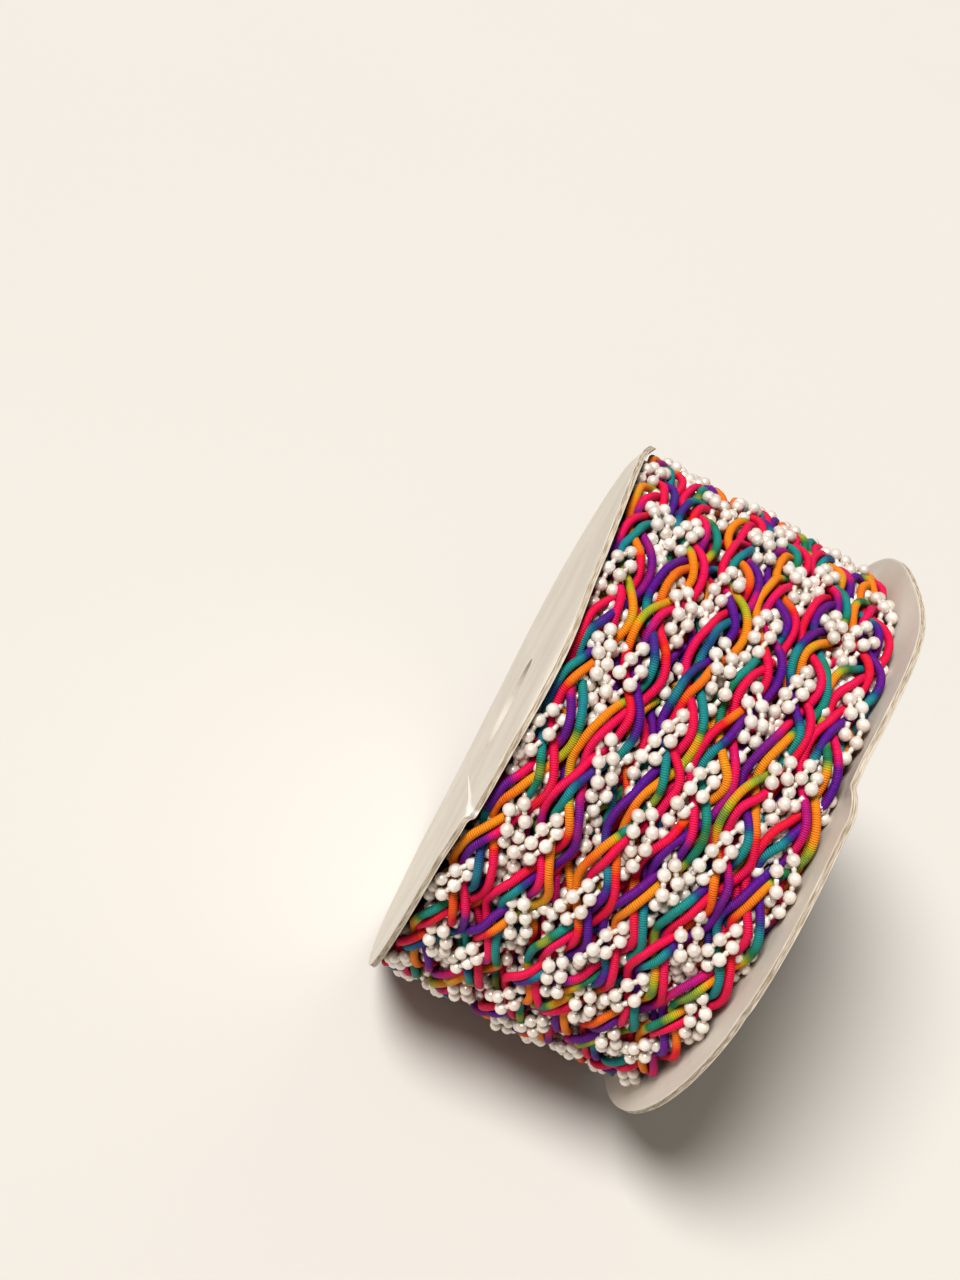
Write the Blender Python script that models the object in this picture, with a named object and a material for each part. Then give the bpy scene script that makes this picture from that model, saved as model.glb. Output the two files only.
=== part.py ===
"""Plaited trim of gimp cords and pearl chains, wound on a card reel. Metres, +Z up.

The reel stands on the rims of its two flanges with its axis along X. Its origin is on the surface it
stands on, under the axis and midway between its two ends. Angles round the reel start at the front,
which is -Y, and grow towards the top.
"""

import math

import bmesh
import bpy
from mathutils import Vector

MM = 0.001

# Card reel
FLANGE_RADIUS = 63.5 * MM
CARD_THICKNESS = 1.2 * MM
INNER_WIDTH = 55.0 * MM
BORE_RADIUS = 10.5 * MM
TUBE_RADIUS = 13.0 * MM
REST_FLAT = 17.0 * MM
GAP = 0.3 * MM
FLANGE_STEPS = 96
TUBE_STEPS = 32

# Bends in the flanges: the angles in degrees where each starts, is deepest and ends, how far in mm
# the rim stands out of its plane, away from the trim, and the radius in mm that it starts at
FLANGE_RINGS = (40, 50, 57, 60.2)
LEFT_BENDS = (
    {"start": 52, "peak": 92, "end": 135, "out": 1.2, "from": 36},
    {"start": 24, "peak": 50, "end": 66, "out": -0.8, "from": 57.8},
    {"start": 100, "peak": 122, "end": 150, "out": -1.6, "from": 57.8},
    {"start": -75, "peak": 8, "end": 28, "out": 1.6, "from": 36},
    {"start": -150, "peak": -70, "end": 10, "out": 1.3, "from": 36},
    {"start": 140, "peak": 190, "end": 250, "out": 0.9, "from": 36},
)
RIGHT_BENDS = (
    {"start": 49, "peak": 54, "end": 74, "out": -1.7, "from": 56.6},
    {"start": 66, "peak": 88, "end": 110, "out": 1.9, "from": 36},
    {"start": -60, "peak": 5, "end": 52, "out": 1.1, "from": 36},
    {"start": 120, "peak": 165, "end": 235, "out": 0.8, "from": 36},
)

# Wear of the left card, which stands short of the round from the low front over the top: the angles
# in degrees where it starts, is full, begins to end and ends, how deep it is, and the radius in mm
# from which the card gives way to it
LEFT_WEAR = ({"start": -78, "full": -46, "until": 132, "end": 165, "deep": 2.5, "from": 59},)
RIGHT_WEAR = ()

# Plait: three strands, so three lumps on each side of it in one repeat
REPEATS_IN_A_TURN = 67 / 6
PLAIT_HALF_WIDTH = 4.4 * MM
PLAIT_CROWN = 1.7 * MM
LUMP_HEIGHT = 0.85 * MM
LUMPS_A_SIDE = 3
CROWN_FULLNESS = 0.7

# Outer turns: how far each lies from the left flange in mm, and the part of a repeat by which its
# lumps run ahead of an even winding
TURNS = (
    {"across": 4.5, "ahead": 0.0},
    {"across": 13.3, "ahead": 0.36},
    {"across": 24.0, "ahead": 0.41},
    {"across": 32.1, "ahead": 0.41},
    {"across": 41.3, "ahead": 0.50},
    {"across": 49.6, "ahead": 0.78},
)
PLAIT_RADIUS = 57.8 * MM
RIGHT_END_DROP = 1.2 * MM
LOWER_TURNS_DEPTH = 1.9 * MM
LOWER_LUMP_HEIGHT = 0.35 * MM
WANDER = 0.5 * MM
FIRST_LUMP = math.radians(38.4)
STRAIGHT_FROM = math.radians(-60)
STRAIGHT_TO = math.radians(150)
RISE = math.radians(50)
TAIL_END = math.radians(230)
STEPS_AROUND = 134
STEPS_ACROSS = 38

TURN = 2 * math.pi
AXIS_HEIGHT = math.sqrt(FLANGE_RADIUS**2 - (REST_FLAT / 2) ** 2)
HALF_WIDTH = INNER_WIDTH / 2


def smooth_step(value):
    """0 below 0, 1 above 1, and a smooth rise between."""
    value = min(1.0, max(0.0, value))
    return value * value * (3 - 2 * value)


def on_reel(x, radius, angle):
    """A point of the reel from its place along the axis, its radius and its angle."""
    return Vector((x, -radius * math.cos(angle), AXIS_HEIGHT + radius * math.sin(angle)))


def polar(point):
    """The radius and the angle of a point about the reel's axis."""
    y, z = -point.y, point.z - AXIS_HEIGHT
    return math.hypot(y, z), math.atan2(z, y)


def make_material(name, colour, roughness):
    """A plain finish."""
    material = bpy.data.materials.new(name)
    material.use_nodes = True
    shader = material.node_tree.nodes["Principled BSDF"]
    shader.inputs["Base Color"].default_value = (*colour, 1)
    shader.inputs["Roughness"].default_value = roughness
    shader.inputs["Metallic"].default_value = 0
    return material


def spin_profile(name, profile, steps, material):
    """A closed body turned from a closed loop of (x, radius) points round the reel's axis."""
    shape = bmesh.new()
    corners = [shape.verts.new(on_reel(x, radius, 0)) for x, radius in profile]
    edges = [shape.edges.new((corners[i - 1], corners[i])) for i in range(len(corners))]
    bmesh.ops.spin(
        shape,
        geom=corners + edges,
        cent=(0, 0, AXIS_HEIGHT),
        axis=(1, 0, 0),
        angle=TURN,
        steps=steps,
        use_merge=True,
    )
    bmesh.ops.recalc_face_normals(shape, faces=shape.faces)
    mesh = bpy.data.meshes.new(name)
    shape.to_mesh(mesh)
    shape.free()
    mesh.materials.append(material)
    body = bpy.data.objects.new(name, mesh)
    bpy.context.collection.objects.link(body)
    return body


def bend_at(bends, radius, angle):
    """How far the card stands out of its plane there, away from the trim."""
    offset = 0
    degrees = math.degrees(angle)
    for bend in bends:
        along = (degrees - bend["start"]) % 360
        rise, whole = bend["peak"] - bend["start"], bend["end"] - bend["start"]
        share = smooth_step(along / rise) * smooth_step((whole - along) / (whole - rise))
        start = bend["from"] * MM
        offset += bend["out"] * MM * share * smooth_step((radius - start) / (FLANGE_RADIUS - start))
    return offset


def wear_at(wears, radius, angle):
    """How far the worn card lies inside its round there."""
    inside = 0
    degrees = math.degrees(angle)
    for wear in wears:
        share = smooth_step((degrees - wear["start"]) / (wear["full"] - wear["start"]))
        share *= smooth_step((wear["end"] - degrees) / (wear["end"] - wear["until"]))
        start = wear["from"] * MM
        inside += wear["deep"] * MM * share * smooth_step((radius - start) / (FLANGE_RADIUS - start))
    return inside


def make_flange(name, side, bends, wears, material):
    """A round card with a hole the size of the tube's bore, its bends and wear, and the flat it rests on."""
    inner = side * HALF_WIDTH
    outer = inner + side * CARD_THICKNESS
    rings = [BORE_RADIUS, *(radius * MM for radius in FLANGE_RINGS), FLANGE_RADIUS]
    profile = [(outer, radius) for radius in rings] + [(inner, radius) for radius in reversed(rings)]
    flange = spin_profile(name, profile, FLANGE_STEPS, material)
    for vertex in flange.data.vertices:
        radius, angle = polar(vertex.co)
        x = vertex.co.x + side * bend_at(bends, radius, angle)
        vertex.co = on_reel(x, radius - wear_at(wears, radius, angle), angle)
        vertex.co.z = max(vertex.co.z, 0)
    return flange


def make_tube(material):
    """The card tube that holds the flanges apart."""
    half = HALF_WIDTH - GAP
    profile = [(-half, TUBE_RADIUS), (half, TUBE_RADIUS), (half, BORE_RADIUS), (-half, BORE_RADIUS)]
    return spin_profile("core_tube", profile, TUBE_STEPS, material)


def turn_at(travel):
    """The middle of the plait along X, and how far its lumps are ahead, after that travel."""
    turn = min(max(math.floor((travel - STRAIGHT_FROM) / TURN), 0), len(TURNS) - 1)
    here, following = TURNS[turn], TURNS[min(turn + 1, len(TURNS) - 1)]
    share = smooth_step((travel - turn * TURN - STRAIGHT_TO) / (STRAIGHT_FROM + TURN - STRAIGHT_TO))
    wander = WANDER * (0.6 * math.sin(1.7 * travel) + 0.4 * math.sin(2.9 * travel + 1))
    across = (here["across"] + (following["across"] - here["across"]) * share) * MM
    ahead = here["ahead"] + (following["ahead"] - here["ahead"]) * share
    return across + wander - HALF_WIDTH, ahead


def plait_height(travel, x):
    """How far the outer plait's face stands over its middle at x, or None beside the plait."""
    middle, ahead = turn_at(travel)
    off = (x - middle) / PLAIT_HALF_WIDTH
    if abs(off) >= 1:
        return None
    repeats = REPEATS_IN_A_TURN * (travel - FIRST_LUMP) / TURN + ahead
    slant = abs(off) / 4
    side = 0.5 if off < 0 else 0
    lump = math.cos(TURN * LUMPS_A_SIDE * (repeats + slant + side))
    weight = smooth_step(3 * abs(off)) * (1 - off**4)
    return PLAIT_CROWN * (1 - off**2) ** CROWN_FULLNESS + LUMP_HEIGHT * weight * lump


def winding_radius(x, angle):
    """Radius of the wound trim at x and angle: the outer turns over the turns below."""
    middle = PLAIT_RADIUS - RIGHT_END_DROP * smooth_step(x / HALF_WIDTH)
    lower = LOWER_LUMP_HEIGHT * math.cos(LUMPS_A_SIDE * REPEATS_IN_A_TURN * angle)
    best = middle - LOWER_TURNS_DEPTH + lower
    first = STRAIGHT_FROM - RISE
    last = (len(TURNS) - 1) * TURN + TAIL_END
    for turn in range(-1, len(TURNS) + 1):
        travel = angle + turn * TURN
        height = plait_height(travel, x) if first < travel < last else None
        if height is not None:
            rise = smooth_step((travel - first) / RISE) * smooth_step((last - travel) / RISE)
            best = max(best, middle + height - (PLAIT_CROWN + LOWER_TURNS_DEPTH) * (1 - rise))
    return best


def make_wound_trim(material):
    """The wound trim: a thick ring on the tube, its outer face raised in the plait's turns."""
    half = HALF_WIDTH - GAP
    bore = TUBE_RADIUS + GAP
    outer = [(half * (2 * i / STEPS_ACROSS - 1), PLAIT_RADIUS) for i in range(STEPS_ACROSS + 1)]
    trim = spin_profile("wound_trim", outer + [(half, bore), (-half, bore)], STEPS_AROUND, material)
    for vertex in trim.data.vertices:
        radius, angle = polar(vertex.co)
        if radius > (PLAIT_RADIUS + bore) / 2:
            vertex.co = on_reel(vertex.co.x, winding_radius(vertex.co.x, angle), angle)
    return trim


def centre(bodies):
    """Moves the reel along its axis until its two ends are equally far from the origin."""
    places = [vertex.co.x for body in bodies for vertex in body.data.vertices]
    middle = (min(places) + max(places)) / 2
    for body in bodies:
        for vertex in body.data.vertices:
            vertex.co.x -= middle


def shade(body):
    """Smooth round faces with crisp edges."""
    body.data.shade_smooth()
    body.data.set_sharp_from_angle(angle=math.radians(40))


def main():
    for old in list(bpy.data.objects):
        bpy.data.objects.remove(old)
    card = make_material("card", (0.55, 0.53, 0.49), 0.6)
    tube_board = make_material("tube_board", (0.45, 0.36, 0.26), 0.8)
    trim = make_material("trim", (0.75, 0.25, 0.32), 0.5)
    bodies = [
        make_flange("flange_left", -1, LEFT_BENDS, LEFT_WEAR, card),
        make_flange("flange_right", 1, RIGHT_BENDS, RIGHT_WEAR, card),
        make_tube(tube_board),
        make_wound_trim(trim),
    ]
    centre(bodies)
    for body in bodies:
        shade(body)


main()
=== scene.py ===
import math

import bmesh
import bpy
import numpy as np
from mathutils import Matrix, Vector
from mathutils.bvhtree import BVHTree
from mathutils.kdtree import KDTree


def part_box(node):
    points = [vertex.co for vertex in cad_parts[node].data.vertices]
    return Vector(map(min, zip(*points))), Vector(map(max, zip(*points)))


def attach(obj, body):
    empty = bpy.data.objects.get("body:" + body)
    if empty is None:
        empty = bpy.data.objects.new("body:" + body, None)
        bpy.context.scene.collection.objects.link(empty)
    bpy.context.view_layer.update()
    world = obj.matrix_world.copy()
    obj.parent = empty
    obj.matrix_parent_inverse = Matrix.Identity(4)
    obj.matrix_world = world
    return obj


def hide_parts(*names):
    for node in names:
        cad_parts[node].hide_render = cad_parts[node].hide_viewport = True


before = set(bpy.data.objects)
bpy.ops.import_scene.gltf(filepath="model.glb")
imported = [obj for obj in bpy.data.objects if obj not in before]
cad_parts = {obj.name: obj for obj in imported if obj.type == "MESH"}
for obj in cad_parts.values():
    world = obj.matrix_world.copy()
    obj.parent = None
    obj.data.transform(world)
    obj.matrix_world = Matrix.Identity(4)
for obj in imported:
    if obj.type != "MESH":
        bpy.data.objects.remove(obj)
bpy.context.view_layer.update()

# The reel's place. It stands on its rims with its axis along X: the card tube's box gives the axis,
# and the wound trim's ends give the flanges' inner faces. Angles start at the front and grow upwards.
MM = 0.001
TRIM_GAP = 0.3 * MM
tube_low, tube_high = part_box("core_tube")
MIDDLE_X = (tube_low.x + tube_high.x) / 2
AXIS_Z = (tube_low.z + tube_high.z) / 2
LEFT_FACE_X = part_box("wound_trim")[0].x - TRIM_GAP
RIGHT_FACE_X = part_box("wound_trim")[1].x + TRIM_GAP
TURN = 2 * math.pi


# The camera: a phone held above the reel and to the left of it, rolled so that the reel's axis runs
# down to the right. Its place and the way it looks are given from the reel's middle, level with it,
# and then both are lifted round the axis.
CAMERA_LIFT = math.radians(40)
CAMERA_PLACE = Vector((-44.4, -305.4, -0.2)) * MM
LOOKING = Vector((0.0136, 0.9995, 0.0299))
PICTURE_RIGHT = Vector((0.8877, -0.0258, 0.4598))
PICTURE_HEIGHT_PX = 1280
FOCAL_PX = 1450
SENSOR_MM = 36

lift = Matrix.Rotation(-CAMERA_LIFT, 3, "X")
backward = -(lift @ LOOKING).normalized()
right = (lift @ PICTURE_RIGHT).normalized()
upward = backward.cross(right).normalized()
right = upward.cross(backward)
place = Vector((MIDDLE_X, 0, AXIS_Z)) + lift @ CAMERA_PLACE
camera = bpy.data.objects.new("camera", bpy.data.cameras.new("camera"))
camera.data.sensor_width = SENSOR_MM
camera.data.lens = FOCAL_PX / PICTURE_HEIGHT_PX * SENSOR_MM
camera.data.clip_start = 0.01
camera.data.clip_end = 20
camera.matrix_world = Matrix.Translation(place) @ Matrix((right, upward, backward)).transposed().to_4x4()
bpy.context.scene.collection.objects.link(camera)
bpy.context.scene.camera = camera
bpy.context.scene.view_settings.view_transform = "Standard"


# The plait: three strands, each a pair. Two pairs are gimp cords and the third is two pearl chains.
# Every strand swings from side to side and over the next one, and the whole band is wound on the
# reel in turns that lie side by side. The turns below show in the gaps between the outer ones.
REPEATS_IN_A_TURN = 67 / 6
FIRST_PEARLS = math.radians(38.4)
STRAIGHT_FROM = math.radians(-60)
STRAIGHT_TO = math.radians(150)
TAIL_END = math.radians(230)
RISE = math.radians(50)
DIVE = 3.4 * MM
SWING = 2.75 * MM
LIFT = 1.2 * MM
RIGHT_END_DROP = 1.2 * MM
PEARL_STRAND, FIRST_GIMP, SECOND_GIMP = 0, 1, 2
STRANDS = 3
HIGHEST = 1.25 * math.pi

OUTER = {
    "radius": 57.8 * MM,
    "wander": 0.5 * MM,
    "hand": 1,
    "turns": (
        {"across": 4.5, "ahead": 0.0},
        {"across": 13.3, "ahead": 0.36},
        {"across": 24.0, "ahead": 0.41},
        {"across": 32.1, "ahead": 0.41},
        {"across": 41.3, "ahead": 0.50},
        {"across": 49.6, "ahead": 0.78},
    ),
}
LOWER = {
    "radius": 54.8 * MM,
    "wander": 0.6 * MM,
    "hand": -1,
    "turns": (
        {"across": 50.2, "ahead": 0.1},
        {"across": 45.6, "ahead": 0.3},
        {"across": 36.9, "ahead": 0.6},
        {"across": 27.9, "ahead": 0.8},
        {"across": 18.6, "ahead": 1.3},
        {"across": 9.0, "ahead": 1.6},
        {"across": 4.4, "ahead": 1.7},
    ),
}


def smooth_step(value):
    """0 below 0, 1 above 1, and a smooth rise between."""
    value = np.clip(value, 0, 1)
    return value * value * (3 - 2 * value)


def drift(along, wavelength, seed):
    """A slow uneven wave between about -1 and 1 along a cord."""
    draw = np.random.RandomState(seed)
    wave = np.zeros_like(along)
    for share in (0.5, 0.3, 0.2):
        wave += share * np.sin(TURN * along / (wavelength * draw.uniform(0.6, 1.6)) + draw.uniform(0, TURN))
        wavelength *= 0.55
    return wave


def smoothed(values, window):
    """The same course with its corners rounded over so many points."""
    padded = np.pad(values, window // 2, mode="edge")
    return np.convolve(padded, np.ones(window) / window, mode="valid")


def solid_card(side):
    """A solid card in a form that rays can meet, and its corners."""
    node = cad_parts[f"flange_{side}"]
    merged = bmesh.new()
    merged.from_mesh(node.data)
    merged.transform(node.matrix_world)
    bmesh.ops.remove_doubles(merged, verts=merged.verts, dist=0.001 * MM)
    tree = BVHTree.FromBMesh(merged)
    corners = np.array([vertex.co for vertex in merged.verts])
    merged.free()
    return tree, corners


def meet_card(tree, start_x, way, radii, angles):
    """x where a ray along X from each place meets the card."""
    met = []
    for radius, angle in zip(radii, angles):
        start = Vector((start_x, -radius * math.cos(angle), AXIS_Z + radius * math.sin(angle)))
        met.append(tree.ray_cast(start, Vector((way, 0, 0)))[0].x)
    return np.array(met)


TOP = 59 * MM
CARD_ANGLES = math.radians(1) + TURN * np.arange(180) / 180
LEFT_CARD, RIGHT_CARD = (
    meet_card(solid_card(side)[0], MIDDLE_X, way, np.full(len(CARD_ANGLES), TOP), CARD_ANGLES)
    for side, way in (("left", -1), ("right", 1))
)
LANE = 9 * MM
LANES_THAT_FOLLOW = 1.4
FOLLOW = 0.8
PEARL_ROOM = 1.35 * MM
COURSE_STEP = 0.35 * MM
CORNER = 9


def between_cards(x, angle):
    """Turns beside a card follow its bends, and nothing runs into it."""
    low = np.interp(angle, CARD_ANGLES, LEFT_CARD, period=TURN)
    high = np.interp(angle, CARD_ANGLES, RIGHT_CARD, period=TURN)
    x = x + FOLLOW * (low - LEFT_FACE_X) * np.clip(LANES_THAT_FOLLOW - (x - LEFT_FACE_X) / LANE, 0, 1)
    x = x + FOLLOW * (high - RIGHT_FACE_X) * np.clip(LANES_THAT_FOLLOW - (RIGHT_FACE_X - x) / LANE, 0, 1)
    return np.clip(x, low + PEARL_ROOM, high - PEARL_ROOM)


def course(layer, strand, apart, seed, spacing):
    """Points at an even spacing along one cord of the plait, and the reel's outward way there."""
    turns = layer["turns"]
    first = STRAIGHT_FROM - RISE
    last = (len(turns) - 1) * TURN + TAIL_END
    radius = layer["radius"]
    travel = np.arange(first, last, COURSE_STEP / radius)
    turn = np.clip(np.floor((travel - STRAIGHT_FROM) / TURN), 0, len(turns) - 1).astype(int)
    following = np.minimum(turn + 1, len(turns) - 1)
    share = smooth_step((travel - turn * TURN - STRAIGHT_TO) / (STRAIGHT_FROM + TURN - STRAIGHT_TO))
    across = np.array([row["across"] for row in turns]) * MM
    ahead = np.array([row["ahead"] for row in turns])
    middle = across[turn] + (across[following] - across[turn]) * share
    middle += layer["wander"] * (0.6 * np.sin(1.7 * travel) + 0.4 * np.sin(2.9 * travel + layer["hand"]))
    repeats = REPEATS_IN_A_TURN * (travel - FIRST_PEARLS) / TURN
    repeats += ahead[turn] + (ahead[following] - ahead[turn]) * share
    phase = HIGHEST - TURN * (repeats - strand / STRANDS)

    along = travel * radius
    width = 1.04 + 0.24 * drift(along, 40 * MM, seed // 10)
    swing = SWING * width * np.sin(phase)
    slope = np.gradient(swing, along)
    turned = np.sqrt(1 + slope**2)
    gap = apart * (1.12 + 0.42 * drift(along, 20 * MM, seed // 10 + 5))
    swing = swing + gap / turned + 0.34 * MM * drift(along, 22 * MM, seed)
    shift = -gap * slope / turned
    height = LIFT * np.sin(2 * phase) + 0.3 * MM * drift(along, 24 * MM, seed + 3)

    x = smoothed(between_cards(LEFT_FACE_X + middle + swing, travel), CORNER)
    rise = smooth_step((travel - first) / RISE) * smooth_step((last - travel) / RISE)
    drop = RIGHT_END_DROP * smooth_step((x - MIDDLE_X) / (RIGHT_FACE_X - MIDDLE_X))
    out = smoothed(radius - drop + height - DIVE * (1 - rise), CORNER)
    angle = travel + shift / radius
    points = np.stack([x, -out * np.cos(angle), AXIS_Z + out * np.sin(angle)], axis=1)
    length = np.concatenate([[0], np.cumsum(np.linalg.norm(np.diff(points, axis=0), axis=1))])
    even = np.arange(0, length[-1], spacing)
    points = np.stack([np.interp(even, length, points[:, axis]) for axis in range(3)], axis=1)
    outward = points * (0, 1, 1) - (0, 0, AXIS_Z)
    return points, outward / np.linalg.norm(outward, axis=1)[:, None]


def link_mesh(name, points, faces):
    """A new object at the origin with its place in its mesh."""
    mesh = bpy.data.meshes.new(name)
    mesh.from_pydata(points.tolist(), [], faces)
    mesh.shade_smooth()
    piece = bpy.data.objects.new(name, mesh)
    bpy.context.scene.collection.objects.link(piece)
    return piece


# Gimp cords: viscose thread wrapped closely round a soft core, about 1.6 mm thick and dyed in bands.
# Each plaited strand holds two of them side by side. Along the cord the map's U is its length in
# metres, so the bands of dye and the ribs of thread follow it.
GIMP_RADIUS = 0.82 * MM
GIMP_APART = 0.86 * MM


def sweep(name, cords, radius, sides):
    """Closed round cords along the given courses, in one mesh, with the length along them as U."""
    points, faces, along, around = [], [], [], []
    turned = TURN * np.arange(sides) / sides
    count = 0
    for start, (line, outward) in cords:
        forward = np.gradient(line, axis=0)
        forward /= np.linalg.norm(forward, axis=1)[:, None]
        normal = outward - forward * np.sum(outward * forward, axis=1)[:, None]
        normal /= np.linalg.norm(normal, axis=1)[:, None]
        across = np.cross(forward, normal)
        ring = normal[:, None] * np.cos(turned)[:, None] + across[:, None] * np.sin(turned)[:, None]
        points.append((line[:, None] + radius * ring).reshape(-1, 3))
        length = start + np.linalg.norm(line[1] - line[0]) * np.arange(len(line))
        for i in range(len(line) - 1):
            low, high = count + i * sides, count + (i + 1) * sides
            for j in range(sides):
                k = (j + 1) % sides
                faces.append((low + j, low + k, high + k, high + j))
                along.extend((length[i], length[i], length[i + 1], length[i + 1]))
                around.extend((j / sides, (j + 1) / sides, (j + 1) / sides, j / sides))
        end = count + (len(line) - 1) * sides
        faces.append(tuple(range(count + sides - 1, count - 1, -1)))
        faces.append(tuple(range(end, end + sides)))
        along.extend([length[0]] * sides + [length[-1]] * sides)
        around.extend(2 * list(turned / TURN))
        count += len(line) * sides
    piece = link_mesh(name, np.concatenate(points), faces)
    layer = piece.data.uv_layers.new(name="cord")
    layer.data.foreach_set("uv", np.stack([along, around], axis=1).ravel())
    return piece


class Socket:
    """A value inside a finish, so that its arithmetic reads as plain sums."""

    def __init__(self, finish, link):
        self.finish = finish
        self.link = link

    def maths(self, operation, *values):
        return self.finish.node("ShaderNodeMath", {"operation": operation}, *values)

    def __add__(self, other):
        return self.maths("ADD", self, other)

    def __radd__(self, other):
        return self.maths("ADD", other, self)

    def __sub__(self, other):
        return self.maths("SUBTRACT", self, other)

    def __rsub__(self, other):
        return self.maths("SUBTRACT", other, self)

    def __mul__(self, other):
        return self.maths("MULTIPLY", self, other)

    def __rmul__(self, other):
        return self.maths("MULTIPLY", other, self)

    def __truediv__(self, other):
        return self.maths("DIVIDE", self, other)

    def wave(self):
        """A wave from 0 to 1, one for each TURN of this value."""
        return self.maths("SINE", self) * 0.5 + 0.5

    def rest(self):
        """What is left over a whole number."""
        return self.maths("FRACT", self)

    def between(self, low, high):
        """0 at low, 1 at high, smooth between."""
        settings = {"interpolation_type": "SMOOTHSTEP"}
        return self.finish.node("ShaderNodeMapRange", settings, self, low, high, 0, 1)


class Finish:
    """One material: its shader and the nodes that feed it."""

    def __init__(self, name, **constants):
        self.material = bpy.data.materials.new(name)
        self.material.use_nodes = True
        self.tree = self.material.node_tree
        self.shader = self.tree.nodes["Principled BSDF"]
        for socket, value in constants.items():
            self.shader.inputs[socket.replace("_", " ")].default_value = value

    def node(self, kind, settings=None, *values, output=0, **named):
        """A new node with its settings, then its sockets by order or by name. Gives one output."""
        made = self.tree.nodes.new(kind)
        for setting, value in (settings or {}).items():
            if setting == "stops":
                for place, _ in value[len(made.color_ramp.elements):]:
                    made.color_ramp.elements.new(place)
                for element, (place, colour) in zip(made.color_ramp.elements, value):
                    element.position = place
                    element.color = (*colour, 1)
            else:
                setattr(made, setting, value)
        for socket, value in [*enumerate(values), *named.items()]:
            self.feed(made.inputs[socket], value)
        return Socket(self, made.outputs[output])

    def feed(self, socket, value):
        """Links a socket, or sets it to a number or colour."""
        if isinstance(value, Socket):
            self.tree.links.new(value.link, socket)
        elif value is not None:
            socket.default_value = value

    def parts(self, vector):
        """The three parts of a vector."""
        split = self.node("ShaderNodeSeparateXYZ", None, vector)
        return [Socket(self, output) for output in split.link.node.outputs]

    def dyes(self, share):
        """The dye's colours, by how far along its repeat."""
        stops = [(at, seen(colour)) for at, colour in DYES]
        return self.node("ShaderNodeValToRGB", {"stops": stops}, share)

    def mix(self, share, first, second):
        """One colour going over into another."""
        made = self.tree.nodes.new("ShaderNodeMix")
        made.data_type = "RGBA"
        for socket, value in ((0, share), (6, first), (7, second)):
            self.feed(made.inputs[socket], (*value, 1) if isinstance(value, tuple) else value)
        return Socket(self, made.outputs[2])

    def noise(self, vector, scale, detail):
        """Soft uneven patches from 0 to 1."""
        return self.node("ShaderNodeTexNoise", None, Vector=vector, Scale=scale, Detail=detail)

    def streaks(self, along, detail):
        """Uneven streaks from 0 to 1 along a line."""
        return self.node("ShaderNodeTexNoise", {"noise_dimensions": "1D"}, W=along, Detail=detail)

    def show(self, socket, value):
        """Feeds one of the shader's sockets."""
        self.feed(self.shader.inputs[socket], value)

    def bump(self, height, distance, strength=1.0):
        """Raises the surface by a height from 0 to 1 times a distance in metres."""
        normal = self.node("ShaderNodeBump", None, Strength=strength, Distance=distance, Height=height)
        self.show("Normal", normal)


# The dye's bands along a cord, as colours to the eye and where each starts and ends in one repeat
DYE_REPEAT = 118 * MM
DYE_STARTS = {FIRST_GIMP: (0.0, 0.55), SECOND_GIMP: (0.3, 0.86)}
DYE_DRIFT = 14
THREAD_PITCH = 0.4 * MM
PATCH_LENGTH = 1.1 * MM
DYES = (
    (0.00, (0.97, 0.00, 0.34)),
    (0.24, (0.97, 0.00, 0.27)),
    (0.29, (0.97, 0.09, 0.02)),
    (0.34, (1.00, 0.47, 0.00)),
    (0.48, (1.00, 0.58, 0.01)),
    (0.52, (0.70, 0.72, 0.08)),
    (0.56, (0.00, 0.46, 0.26)),
    (0.60, (0.00, 0.57, 0.51)),
    (0.68, (0.00, 0.54, 0.59)),
    (0.73, (0.01, 0.25, 0.50)),
    (0.78, (0.33, 0.02, 0.58)),
    (0.89, (0.43, 0.01, 0.53)),
    (0.94, (0.80, 0.00, 0.45)),
    (1.00, (0.97, 0.00, 0.34)),
)


def seen(colour):
    """A colour to the eye as the renderer's linear one."""
    return tuple(c / 12.92 if c <= 0.04045 else ((c + 0.055) / 1.055) ** 2.4 for c in colour)


def gimp_finish(name, depth):
    """Dyed, satin wrapped thread, with painted shade in the grooves between its wraps. depth sets how
    strong that painted shade is, and is larger for the turns that lie below.
    """
    finish = Finish(name, Specular_IOR_Level=0.16)
    uv = finish.node("ShaderNodeUVMap", {"uv_map": "cord"})
    along, around, _ = finish.parts(uv)
    repeats = (along / DYE_REPEAT + finish.streaks(along * DYE_DRIFT, 1) * 0.5).rest()
    dye = finish.dyes(repeats)
    thread = (TURN * (along / THREAD_PITCH + around)).wave()
    fibres = finish.streaks(along / THREAD_PITCH, 2)
    patches = finish.streaks(along / PATCH_LENGTH + around, 2)
    # Painted shade: the grooves between the thread's wraps are darkened towards near black, together with
    # uneven fibre and patch tone.
    shade = (1 - thread) * 0.4 + fibres.between(0.35, 0.75) * 0.15 + patches.between(0.4, 0.75) * 0.25
    colour = finish.mix(shade * depth, dye, (0.02, 0.004, 0.01))
    finish.show("Base Color", finish.mix(fibres.between(0.6, 0.8) * 0.04, colour, (0.9, 0.75, 0.7)))
    finish.show("Roughness", 0.42 + fibres * 0.2)
    finish.bump(thread * 0.8 + fibres * 0.4 + patches * 0.5, 0.13 * MM, 1.0)
    return finish.material


def gimp_cords(name, layer, strand, seed, spacing, sides, finish):
    """Both cords of one plaited gimp strand, each begun at its own place in the dye."""
    cords = []
    for side, begun in zip((-1, 1), DYE_STARTS[strand]):
        own_seed = seed + 10 * strand + (side > 0)
        cords.append((begun * DYE_REPEAT, course(layer, strand, side * GIMP_APART, own_seed, spacing)))
    piece = sweep(name, cords, GIMP_RADIUS, sides)
    piece.data.materials.append(finish)
    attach(piece, "root")
    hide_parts("wound_trim")
    return np.concatenate([line for _, (line, _) in cords])


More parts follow.
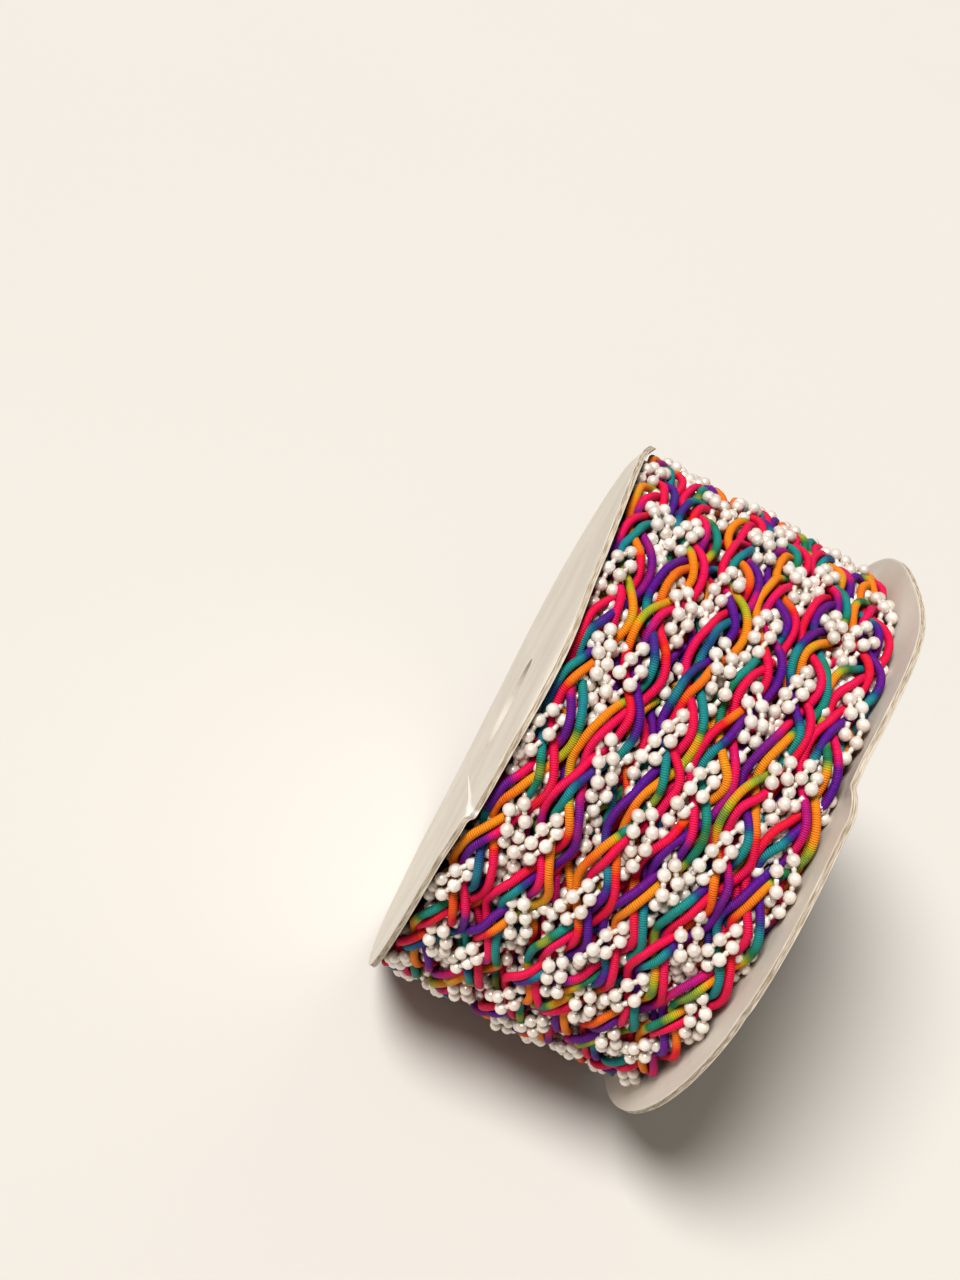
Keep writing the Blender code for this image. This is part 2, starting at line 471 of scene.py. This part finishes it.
def search_tree(points):
    """The points in a form that finds the nearest one quickly."""
    tree = KDTree(len(points))
    for i, point in enumerate(points):
        tree.insert(point, i)
    tree.balance()
    return tree


# Shaded copies of one finish: the lower turns get more painted shade than the outer ones.
outer_gimp = gimp_finish("outer_gimp", 0.9)
lower_gimp = gimp_finish("lower_gimp", 1.0)
outer_lines, lower_lines = [], []
for strand, seed in ((FIRST_GIMP, 110), (SECOND_GIMP, 150)):
    names = f"gimp_outer_{strand}", f"gimp_lower_{strand}"
    outer_lines.append(gimp_cords(names[0], OUTER, strand, seed, 0.8 * MM, 10, outer_gimp))
    lower_lines.append(gimp_cords(names[1], LOWER, strand, seed + 200, 1.3 * MM, 6, lower_gimp))
outer_cords = search_tree(np.concatenate(outer_lines))
lower_cords = search_tree(np.concatenate(lower_lines))


# Pearl chains: round imitation pearls moulded on a thread, with a short white neck between them. Two
# chains lie side by side in the third strand, half a pearl out of step, so their pearls nest.
PEARL_RADIUS = 1.27 * MM
PEARL_PITCH = 3.4 * MM
PEARL_APART = 1.2 * MM
PEARL_RISE = 0.1 * MM
NECK_RADIUS = 0.5 * MM


def model_pearl(segments, rings):
    """One pearl with the neck to the next, along Z, as points and faces."""
    bpy.ops.object.select_all(action="DESELECT")
    bpy.ops.mesh.primitive_uv_sphere_add(segments=segments, ring_count=rings, radius=PEARL_RADIUS)
    pearl = bpy.context.object
    neck_place = (0, 0, PEARL_PITCH / 2)
    bpy.ops.mesh.primitive_cylinder_add(vertices=6, radius=NECK_RADIUS, depth=1.2 * MM, location=neck_place)
    neck = bpy.context.object
    pearl.select_set(True)
    bpy.context.view_layer.objects.active = pearl
    neck.select_set(True)
    bpy.ops.object.join()
    points = np.array([vertex.co for vertex in pearl.data.vertices])
    faces = [tuple(face.vertices) for face in pearl.data.polygons]
    bpy.data.objects.remove(pearl)
    return points, faces


def string_pearls(name, pattern, courses, seed):
    """Copies of the pearl along each course, joined in one mesh, with a tone for each pearl."""
    shape, faces = pattern
    draw = np.random.RandomState(seed)
    points, joined, tones = [], [], []
    for line, outward in courses:
        forward = np.diff(line, axis=0)
        forward /= np.linalg.norm(forward, axis=1)[:, None]
        normal = outward[:-1] - forward * np.sum(outward[:-1] * forward, axis=1)[:, None]
        normal /= np.linalg.norm(normal, axis=1)[:, None]
        across = np.cross(forward, normal)
        for place, ahead, up, aside in zip(line, forward, normal, across):
            turned = draw.uniform(0, TURN)
            first = math.cos(turned) * up + math.sin(turned) * aside
            second = np.cross(ahead, first)
            size = draw.uniform(0.96, 1.03)
            start = len(points) * len(shape)
            wide = size * shape[:, :1] * first + size * shape[:, 1:2] * second
            points.append(place + wide + shape[:, 2:] * ahead)
            joined.extend(tuple(start + i for i in face) for face in faces)
            tones.append(draw.uniform(0, 1))
    piece = link_mesh(name, np.concatenate(points), joined)
    tone = piece.data.attributes.new("tone", "FLOAT", "POINT")
    tone.data.foreach_set("value", np.repeat(tones, len(shape)))
    return piece


def pearl_finish():
    """Pearl lustre: creamy white, glossy and a little translucent, each pearl of its own tone."""
    finish = Finish(
        "pearl",
        Specular_IOR_Level=0.6,
        Metallic=0.3,
        Coat_Roughness=0.1,
        Subsurface_Weight=0.1,
        Subsurface_Radius=(0.9 * MM, 0.6 * MM, 0.5 * MM),
        Subsurface_Scale=1.0,
    )
    tone = finish.node("ShaderNodeAttribute", {"attribute_name": "tone"}, output=2)
    place = finish.node("ShaderNodeTexCoord", output=3)
    cloud = finish.noise(place, 700, 2)
    warm = finish.mix(tone, seen((0.93, 0.90, 0.86)), seen((0.87, 0.82, 0.77)))
    colour = finish.mix(cloud.between(0.45, 0.7) * 0.5, warm, seen((0.84, 0.75, 0.72)))
    finish.show("Base Color", colour)
    finish.show("Roughness", 0.28 + cloud * 0.16)
    finish.show("Coat Weight", 0.5 + tone * 0.4)
    finish.bump(cloud, 0.03 * MM, 0.4)
    return finish.material


def settle(places, outward, cords):
    """The pearls' places, each moved out of the cords and the other pearls that it would sink into."""
    places = places + PEARL_RISE * outward
    reach = PEARL_RADIUS + GIMP_RADIUS
    for _ in range(4):
        others = search_tree(places)
        for i, out in enumerate(outward):
            near, _, distance = cords.find(places[i])
            if distance < reach:
                away = (places[i] - near) / distance + 0.3 * out
                places[i] += away / np.linalg.norm(away) * min(reach - distance, 0.4 * MM)
            for near, other, distance in others.find_range(places[i], 2 * PEARL_RADIUS):
                if other != i and distance > 0:
                    places[i] += (places[i] - near) / distance * (PEARL_RADIUS - distance / 2)
    return places


def pearl_chains(name, layer, pattern, seed, material, cords):
    """The two chains of the pearl strand, the second half a pitch out of step."""
    courses = []
    for side in (-1, 1):
        line, outward = course(layer, PEARL_STRAND, side * PEARL_APART, seed + (side > 0), PEARL_PITCH / 2)
        start = 0 if side < 0 else 1
        courses.append((line[start::2], outward[start::2]))
    outward = np.concatenate([chain[1] for chain in courses])
    places = settle(np.concatenate([chain[0] for chain in courses]), outward, cords)
    first = len(courses[0][0])
    courses = [(places[:first], outward[:first]), (places[first:], outward[first:])]
    for number, chain in enumerate(courses, 1):
        piece = string_pearls(f"{name}_{number}", pattern, [chain], seed + number)
        piece.data.materials.append(material)
        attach(piece, "root")
        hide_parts("wound_trim")


pearl = pearl_finish()
pearl_chains("pearls_outer", OUTER, model_pearl(10, 8), 310, pearl, outer_cords)
pearl_chains("pearls_lower", LOWER, model_pearl(8, 6), 370, pearl, lower_cords)


# The turns below: many more metres of the same plait, of which only specks show between the strands.
# They are one ring from the tube out, ribbed along the turns, speckled in the trim's colours and darkened
# towards near black with painted shade for the gaps they lie in.
INNER_TURNS_RADIUS = 52.6 * MM
INNER_RIB = 1.0 * MM
INNER_END_GAP = 0.4 * MM


def spin_ring(name, profile, steps):
    """A closed ring turned about the reel's axis from a loop of (x, radius) points."""
    shape = bmesh.new()
    corners = [shape.verts.new((x, -radius, AXIS_Z)) for x, radius in profile]
    edges = [shape.edges.new((corners[i - 1], corners[i])) for i in range(len(corners))]
    bmesh.ops.spin(
        shape,
        geom=corners + edges,
        cent=(0, 0, AXIS_Z),
        axis=(1, 0, 0),
        angle=TURN,
        steps=steps,
        use_merge=True,
    )
    bmesh.ops.recalc_face_normals(shape, faces=shape.faces)
    mesh = bpy.data.meshes.new(name)
    shape.to_mesh(mesh)
    shape.free()
    mesh.shade_smooth()
    mesh.set_sharp_from_angle(angle=math.radians(45))
    piece = bpy.data.objects.new(name, mesh)
    bpy.context.scene.collection.objects.link(piece)
    return piece


tube_radius = (tube_high.z - tube_low.z) / 2
ring_x = np.linspace(LEFT_FACE_X + INNER_END_GAP, RIGHT_FACE_X - INNER_END_GAP, 49)
ring_out = INNER_TURNS_RADIUS + INNER_RIB * np.sin(TURN * (ring_x - LEFT_FACE_X) / LANE)
ring_out -= RIGHT_END_DROP * smooth_step((ring_x - MIDDLE_X) / (RIGHT_FACE_X - MIDDLE_X))
bore = tube_radius + TRIM_GAP
inner_turns = spin_ring("inner_turns", [*zip(ring_x, ring_out), (ring_x[-1], bore), (ring_x[0], bore)], 96)
finish = Finish("inner_turns", Specular_IOR_Level=0.3)
place = finish.node("ShaderNodeTexCoord", output=3)
cells = finish.node("ShaderNodeTexVoronoi", {"feature": "F1"}, Vector=place, Scale=420, output=1)
speckle = finish.dyes(finish.node("ShaderNodeSeparateColor", None, cells))
grain = finish.noise(place, 1500, 3)
# Painted shade: the speckles are darkened 45 to 75 per cent towards near black.
finish.show("Base Color", finish.mix(0.45 + grain * 0.3, speckle, (0.03, 0.008, 0.012)))
finish.show("Roughness", 0.6 + grain * 0.3)
finish.bump(grain, 0.3 * MM, 0.7)
inner_turns.data.materials.append(finish.material)
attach(inner_turns, "root")
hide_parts("wound_trim")


# Card flanges: white-lined grey board about 1.2 mm thick, stamped round, with the bends and wear that
# the solids give. Handling has frayed the cut edge, nicked and folded it, and creased the left card;
# a painted highlight lies along that crease.
CAD_STEPS = 96
CARD_STEPS = 576
LAYERS = 7
FRAY = 0.3 * MM
NICKS = {
    "left": ({"angle": 19.5, "wide": 1.2, "deep": 1.3}, {"angle": 78, "wide": 1.2, "deep": 0.3}),
    "right": ({"angle": 52.5, "wide": 1.2, "deep": 0.5}, {"angle": 12, "wide": 1.5, "deep": 0.4}),
}
FOLDS = {"left": {"angle": 19.5, "step": 0.45 * MM}, "right": {"angle": 52.5, "step": -0.35 * MM}}
FOLD_REACH = 4
FOLD_SHARPNESS = 0.4
CREASE_ENDS = ({"angle": 21, "radius": 61 * MM}, {"angle": -93, "radius": 25 * MM})
CREASE_WIDTHS = {"near": 1.4 * MM, "far": 0.3 * MM}
CARD_RINGS = [radius * MM for radius in (10.5, 30, 36, 42, 46, 50, 53.5, 57, 59)]
IN_FROM_RIM = [back * MM for back in (1.4, 0.6, 0.15)]
RIM_FROM = 60.5 * MM
HOLE_MARGIN = 0.01 * MM
BESIDE_REEL = 100 * MM


def read_card(side):
    """The solid card: each ring's radius and the x of its two faces, by ring and step round it."""
    tree, corners = solid_card(side)
    y, z = -corners[:, 1], corners[:, 2] - AXIS_Z
    on_rim = np.hypot(y, z) > RIM_FROM
    angle = TURN * np.arange(CAD_STEPS) / CAD_STEPS
    rim = np.interp(angle, np.arctan2(z, y)[on_rim], np.hypot(y, z)[on_rim], period=TURN)
    rim = np.minimum(rim, AXIS_Z / np.maximum(-np.sin(angle), 0.5))
    rings = [np.full(CAD_STEPS, radius) for radius in CARD_RINGS] + [rim - back for back in IN_FROM_RIM]
    radii = np.array(rings)
    radii[0] += HOLE_MARGIN
    angles = np.tile(angle, len(radii))
    low, high = (meet_card(tree, -way * BESIDE_REEL, way, radii.ravel(), angles) for way in (1, -1))
    return np.stack([radii, low.reshape(radii.shape), high.reshape(radii.shape)])


def finer(rings):
    """The same rings with more steps, smooth through the solid's own."""
    at = np.arange(CARD_STEPS) * CAD_STEPS / CARD_STEPS
    first = np.floor(at).astype(int)
    share = at - first
    before, here, after, last = (rings[..., (first + i) % CAD_STEPS] for i in (-1, 0, 1, 2))
    bend = 2 * before - 5 * here + 4 * after - last
    twist = 3 * here - before - 3 * after + last
    return here + share / 2 * (after - before + share * (bend + share * twist))


def degrees_from(place, angle):
    """How many degrees each angle lies past a place on the rim."""
    return (np.degrees(angle) - place + 180) % 360 - 180


def mark_points(piece, name, values):
    """A value at each point of a piece, for its finish to read."""
    piece.data.attributes.new(name, "FLOAT", "POINT").data.foreach_set("value", values)


def make_card(side):
    """A card as one closed mesh: its two faces, its hole and its frayed rim, with the cut edge marked."""
    radii, low, high = finer(read_card(side))
    draw = np.random.RandomState(len(side))
    angle = TURN * np.arange(CARD_STEPS) / CARD_STEPS
    nick = np.zeros(CARD_STEPS)
    for row in NICKS[side]:
        nick += row["deep"] * MM * np.exp(-((degrees_from(row["angle"], angle) / row["wide"]) ** 2))

    off = degrees_from(FOLDS[side]["angle"], angle)
    fold = FOLDS[side]["step"] * np.exp(-np.abs(off) / FOLD_REACH) * np.tanh(off / FOLD_SHARPNESS)
    outermost = smooth_step((radii - 57 * MM) / (3 * MM))
    low, high = low + fold * outermost, high + fold * outermost

    rows = [(x, radius, 0.0) for x, radius in zip(low, radii)]
    for layer in range(LAYERS):
        share = (layer + 0.5) / LAYERS
        rough = draw.uniform(0, 1, CARD_STEPS)
        rough = (rough + np.roll(rough, 1) + 0.5 * np.roll(rough, 2)) / 2.5
        slow = 0.5 + 0.5 * drift(angle * FLANGE_RADIUS, 11 * MM, layer + len(side))
        lined_edge = layer in (0, LAYERS - 1)
        depth = FRAY * (0.35 if lined_edge else 1.0) * rough * (0.3 + slow)
        x = low[-1] * (1 - share) + high[-1] * share
        rows.append((x, radii[-1] + IN_FROM_RIM[-1] - depth, 0.25 if lined_edge else 1.0))
    rows += reversed([(x, radius, 0.0) for x, radius in zip(high, radii)])

    points, marks, faces = [], [], []
    for row, (x, radius, mark) in enumerate(rows):
        radius = radius - nick * smooth_step((radius - (FLANGE_RADIUS - 6 * MM)) / (3 * MM))
        z = np.maximum(AXIS_Z + radius * np.sin(angle), 0)
        points.append(np.stack([x, -radius * np.cos(angle), z], axis=1))
        marks.append(np.full(CARD_STEPS, mark))
        here, beyond = row * CARD_STEPS, (row + 1) % len(rows) * CARD_STEPS
        for i in range(CARD_STEPS):
            j = (i + 1) % CARD_STEPS
            faces.append((here + i, here + j, beyond + j, beyond + i))
    piece = link_mesh(f"card_{side}", np.concatenate(points), faces)
    piece.data.set_sharp_from_angle(angle=math.radians(50))
    mark_points(piece, "cut", np.concatenate(marks))
    mark_points(piece, "layer", np.repeat(np.arange(len(rows)) + 0.0, CARD_STEPS))
    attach(piece, "root")
    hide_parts(f"flange_{side}")
    return piece


def crease(finish, forward, height):
    """1 along the crease that runs over the card's outer face from its nick, 0 beside it: the mask for the
    crease's bump and its painted highlight.
    """
    near, far = (
        Vector((math.cos(math.radians(end["angle"])), math.sin(math.radians(end["angle"])))) * end["radius"]
        for end in CREASE_ENDS
    )
    length = (near - far).length
    way = (near - far) / length
    across = Vector((-way.y, way.x))
    along = (forward * way.x + height * way.y - far.dot(way)) / length
    beside = forward * across.x + height * across.y - far.dot(across)
    widening = CREASE_WIDTHS["near"] - CREASE_WIDTHS["far"]
    half = along.between(0, 1) * widening + CREASE_WIDTHS["far"]
    ends = along.between(0, 0.1) * (1 - along.between(1.0, 1.02))
    return (1 - beside.maths("ABSOLUTE", beside) / half).between(0, 0.8) * ends


def card_finish(side):
    """Lined card, faintly scuffed, with bare layered fibre at its cut edge."""
    finish = Finish(f"card_{side}", Specular_IOR_Level=0.4)
    place = finish.node("ShaderNodeTexCoord", output=3)
    _, y, z = finish.parts(place)
    cut = finish.node("ShaderNodeAttribute", {"attribute_name": "cut"}, output=2)
    layer = finish.node("ShaderNodeAttribute", {"attribute_name": "layer"}, output=2)
    mottle = finish.noise(place, 60, 4)
    fibre = finish.noise(place, 1500, 3)
    grain = finish.noise(place, 420, 3)
    face = finish.mix(mottle.between(0.35, 0.7), seen((0.79, 0.76, 0.715)), seen((0.76, 0.725, 0.675)))
    face = finish.mix(grain.between(0.58, 0.78) * 0.2, face, seen((0.62, 0.57, 0.51)))
    layers = finish.noise(finish.node("ShaderNodeCombineXYZ", None, layer * 3 * MM, y, z), 350, 2)
    edge = finish.mix(layers.between(0.35, 0.65), seen((0.56, 0.49, 0.40)), seen((0.76, 0.71, 0.64)))
    colour = finish.mix(cut.between(0.3, 0.9), face, edge)
    height = fibre * (0.12 + cut) + grain * 0.25
    if side == "left":
        crease_and_highlight = crease(finish, 0 - y, z - AXIS_Z)
        # Painted highlight: the crease is whitened where light catches its fold.
        colour = finish.mix(crease_and_highlight * 0.75, colour, seen((0.96, 0.95, 0.93)))
        height = height + crease_and_highlight * 3
    finish.show("Base Color", colour)
    finish.show("Roughness", 0.45 + mottle * 0.2 + cut * 0.3)
    finish.bump(height, 0.12 * MM, 0.5)
    return finish.material


FLANGE_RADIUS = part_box("flange_right")[1].y
for side in ("left", "right"):
    make_card(side).data.materials.append(card_finish(side))


# Core tube: spirally wound kraft board that the trim is wound on and the flanges are glued to. Only
# its bore shows, through the holes in the flanges.
finish = Finish("tube_board", Specular_IOR_Level=0.3)
place = finish.node("ShaderNodeTexCoord", output=3)
x, _, _ = finish.parts(place)
seam = finish.noise(place, 500, 3)
lines = (x * 900 + seam * 3).wave()
board = finish.mix(lines * 0.4 + seam * 0.3, seen((0.70, 0.59, 0.45)), seen((0.55, 0.44, 0.32)))
finish.show("Base Color", board)
finish.show("Roughness", 0.7 + seam * 0.2)
finish.bump(seam, 0.15 * MM, 0.5)
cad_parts["core_tube"].material_slots[0].material = finish.material


# The floor is a plain pale sheet, and the light is soft: a wide sun from above, in front and to the
# left, and a pale room all round.
FLOOR_SIZE = 6
FLOOR_PLACE = (0, 0, -0.2 * MM)
PALE = (0.964, 0.937, 0.898)

bpy.ops.object.select_all(action="DESELECT")
bpy.ops.mesh.primitive_grid_add(x_subdivisions=2, y_subdivisions=2, size=FLOOR_SIZE, location=FLOOR_PLACE)
floor = bpy.context.object
floor.name = "floor"
finish = Finish("floor", Specular_IOR_Level=0.1)
place = finish.node("ShaderNodeTexCoord", output=3)
sheet = finish.mix(finish.noise(place, 3, 2), seen((0.80, 0.786, 0.765)), seen((0.79, 0.776, 0.755)))
finish.show("Base Color", sheet)
finish.show("Roughness", 0.9 + finish.noise(place, 40, 2) * 0.1)
floor.data.materials.append(finish.material)

sun = bpy.data.objects.new("sun", bpy.data.lights.new("sun", "SUN"))
sun.data.energy = 4.7
sun.data.angle = math.radians(22)
sun.data.color = (1.0, 0.985, 0.96)
sun.rotation_euler = Vector((0.42, 0.3, -0.85)).to_track_quat("-Z", "Y").to_euler()
bpy.context.scene.collection.objects.link(sun)

world = bpy.data.worlds.new("room")
world.use_nodes = True
world.node_tree.nodes["Background"].inputs["Color"].default_value = (*seen(PALE), 1)
world.node_tree.nodes["Background"].inputs["Strength"].default_value = 0.28
bpy.context.scene.world = world
